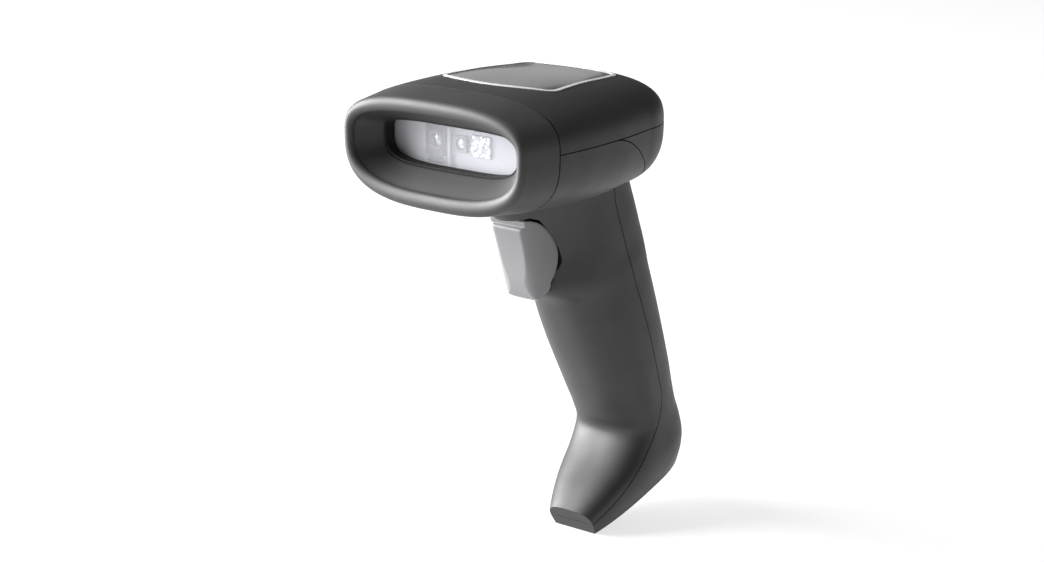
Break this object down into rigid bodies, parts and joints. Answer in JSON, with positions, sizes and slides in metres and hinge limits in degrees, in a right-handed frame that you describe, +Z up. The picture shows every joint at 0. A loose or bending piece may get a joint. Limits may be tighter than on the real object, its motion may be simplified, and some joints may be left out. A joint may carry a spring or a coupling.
{
  "type": "handheld barcode scanner",
  "caption": "Pistol-grip barcode scanner: wide oval head with a recessed window, raked grip with a flared toe, and a sprung trigger.",
  "frame": {"origin": "middle of the whole object's outline in plan, at the lowest edge of the toe", "axes": "+X to the scanner's left side, the scan window faces -Y, +Z up with the head level"},
  "size_m": [0.0776, 0.1218, 0.1574],
  "materials": {
    "shell_plastic": "fine matt moulded texture, dark grey",
    "bezel_plastic": "fine matt moulded texture, dark grey",
    "gasket_foam": "matt black foam",
    "window_glass": "clear, hard coated",
    "label_gloss": "glossy, slightly domed",
    "light_guide": "translucent, polished",
    "trigger_plastic": "smooth satin mid grey",
    "steel": "ground",
    "spring_steel": "bright wire",
    "black_nylon": "moulded",
    "switch_red": "moulded",
    "chassis_plastic": "pale lavender grey, satin",
    "lens_glass": "coated",
    "circuit_board": "solder mask over laminate",
    "chip_black": "moulded epoxy",
    "lamp_body": "ceramic and resin",
    "socket_plastic": "moulded",
    "flat_cable": "laminated film",
    "gold_contact": "gold plated",
    "screw_steel": "dark zinc plated"
  },
  "bodies": {
    "root": {"nose_bezel": "bezel_plastic", "window_gasket": "gasket_foam", "scan_window": "window_glass", "top_cover": "shell_plastic", "label_plate": "label_gloss", "light_ring": "light_guide", "front_shell": "shell_plastic", "rear_cover": "shell_plastic", "trigger_pin": "steel", "trigger_carrier": "black_nylon", "trigger_spring": "spring_steel", "trigger_switch": "black_nylon", "optics_chassis": "chassis_plastic", "camera_housing": "black_nylon", "lens_barrel": "black_nylon", "camera_lens": "lens_glass", "image_sensor": "chip_black", "sensor_board": "circuit_board", "aimer_holder": "black_nylon", "aimer_lens": "lens_glass", "aimer_lamp": "lamp_body", "illumination_lens": "lens_glass", "illumination_lamp": "lamp_body", "lamp_board": "circuit_board", "main_board": "circuit_board", "processor": "chip_black", "memory_chip": "chip_black", "beeper": "chip_black", "status_lamp": "lamp_body", "flat_cable_socket": "socket_plastic", "grip_cable": "flat_cable", "sensor_cable": "flat_cable", "grip_board": "circuit_board", "cable_jack": "black_nylon", "jack_contacts": "gold_contact", "housing_screws": "screw_steel", "chassis_screws": "screw_steel", "board_screws": "screw_steel", "carrier_screws": "screw_steel"},
    "trigger": {"trigger": "trigger_plastic"},
    "plunger": {"switch_plunger": "switch_red"}
  },
  "joints": [
    {"name": "trigger_pull", "type": "hinge", "parent": "root", "child": "trigger", "pos_m": [0, -0.02437, 0.12357], "axis": [1, 0, 0], "range_deg": [0, 2.4], "stiffness_Nm_per_rad": 0.35, "springref_deg": -6.88, "deforming": ["trigger_spring"]},
    {"name": "plunger_press", "type": "slide", "parent": "root", "child": "plunger", "axis": [0, 0.95, 0.3123], "range_m": [0, 0.0012], "stiffness_N_per_m": 8, "springref_m": -0.0004}
  ],
  "couplings": [
    {"joint": "plunger_press", "follows": "trigger_pull", "m_per_rad": 0.026}
  ]
}
